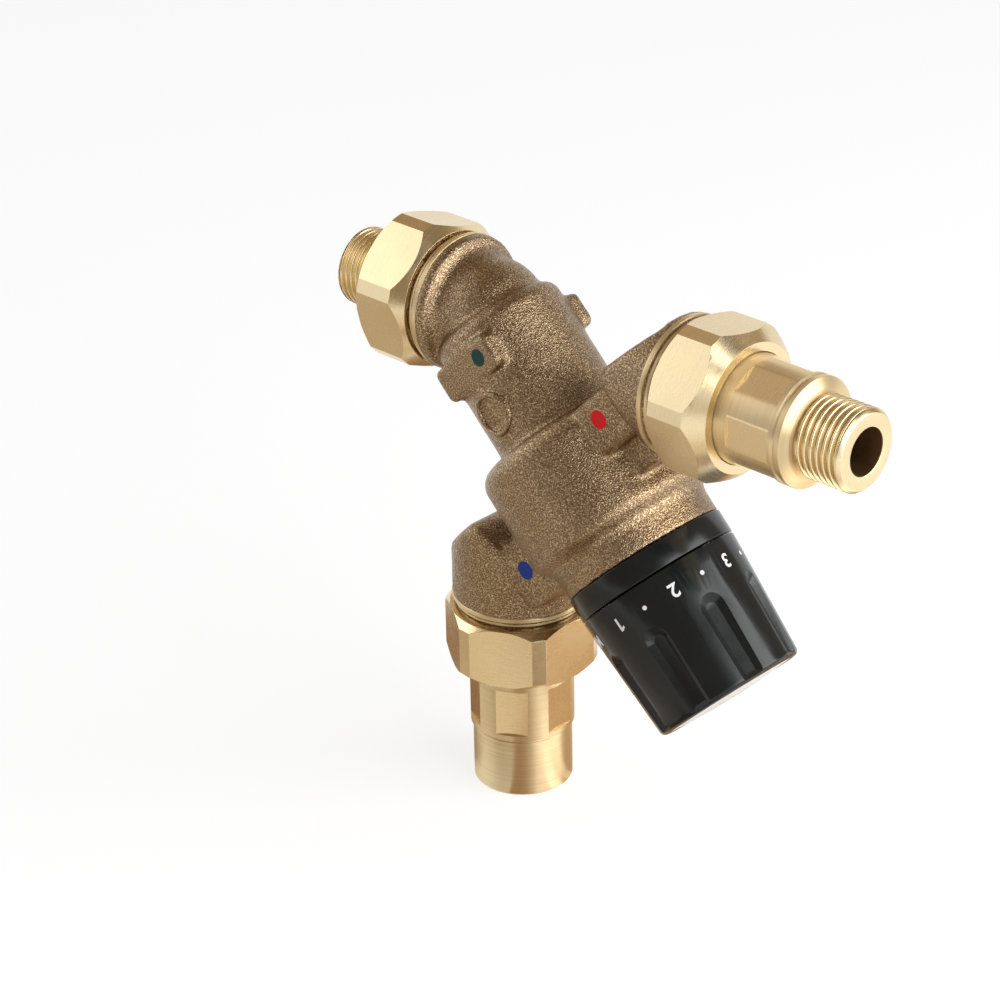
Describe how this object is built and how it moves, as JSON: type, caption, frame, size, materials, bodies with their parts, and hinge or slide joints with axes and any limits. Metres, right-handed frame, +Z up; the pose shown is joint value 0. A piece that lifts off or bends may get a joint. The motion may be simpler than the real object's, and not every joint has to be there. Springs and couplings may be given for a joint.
{
  "type": "tempering valve",
  "caption": "Y-shaped cast bronze water tempering valve with union-nut tailpieces for hot, cold and mixed pipes and a black setting knob on its slanted barrel.",
  "frame": {"origin": "centre of the cold socket's mouth, the lowest point of the valve", "axes": "+Z up along the cold leg, +X towards the hot thread, +Y completes the right hand; the knob's axis leans down between +X and -Z"},
  "size_m": [0.1656, 0.0508, 0.1527],
  "materials": {
    "cast_bronze": "sand cast, fine sparkling grain",
    "satin_brass": "machined, satin",
    "black_plastic": "moulded, satin gloss, white printed scale",
    "white_plastic": "moulded, plain",
    "grey_plastic": "moulded",
    "rubber": "smooth moulded",
    "steel": "drawn wire and stamped",
    "copper": "drawn"
  },
  "bodies": {
    "valve": {"valve_body": "cast_bronze", "mixed_union_nut": "satin_brass", "mixed_gasket": "rubber", "hot_union_nut": "satin_brass", "hot_gasket": "rubber", "cold_union_nut": "satin_brass", "cold_gasket": "rubber", "hot_tailpiece": "satin_brass", "mixed_tailpiece": "satin_brass", "cold_tailpiece": "satin_brass", "bonnet": "satin_brass", "bonnet_o_ring": "rubber", "index_collar": "black_plastic", "return_spring": "steel"},
    "knob": {"setting_knob": "black_plastic", "dial_disc": "white_plastic"},
    "spindle": {"spindle": "satin_brass", "spindle_o_ring": "rubber"},
    "carrier": {"overload_cup": "satin_brass", "cup_snap_ring": "steel", "thrust_button": "steel", "overload_spring": "steel"},
    "piston": {"regulating_piston": "grey_plastic", "piston_o_ring": "rubber", "wax_element": "copper"}
  },
  "joints": [
    {"name": "knob_turn", "type": "hinge", "parent": "valve", "child": "knob", "pos_m": [-0.0084, 0, 0.1326], "axis": [0.7071, 0, -0.7071], "range_deg": [-225, 45]},
    {"name": "spindle_advance", "type": "slide", "parent": "knob", "child": "spindle", "axis": [0.7071, 0, -0.7071], "range_m": [-0.00096, 0.00019]},
    {"name": "carrier_slide", "type": "slide", "parent": "valve", "child": "carrier", "axis": [0.7071, 0, -0.7071], "range_m": [-0.00096, 0.00019], "deforming": ["return_spring"]},
    {"name": "piston_stroke", "type": "slide", "parent": "carrier", "child": "piston", "axis": [0.7071, 0, -0.7071], "range_m": [-0.00085, 0], "stiffness_N_per_m": 3000, "springref_m": 0.004, "deforming": ["return_spring"]}
  ],
  "couplings": [
    {"joint": "spindle_advance", "follows": "knob_turn", "m_per_rad": 0.00023873},
    {"joint": "carrier_slide", "follows": "knob_turn", "m_per_rad": 0.00023873}
  ]
}
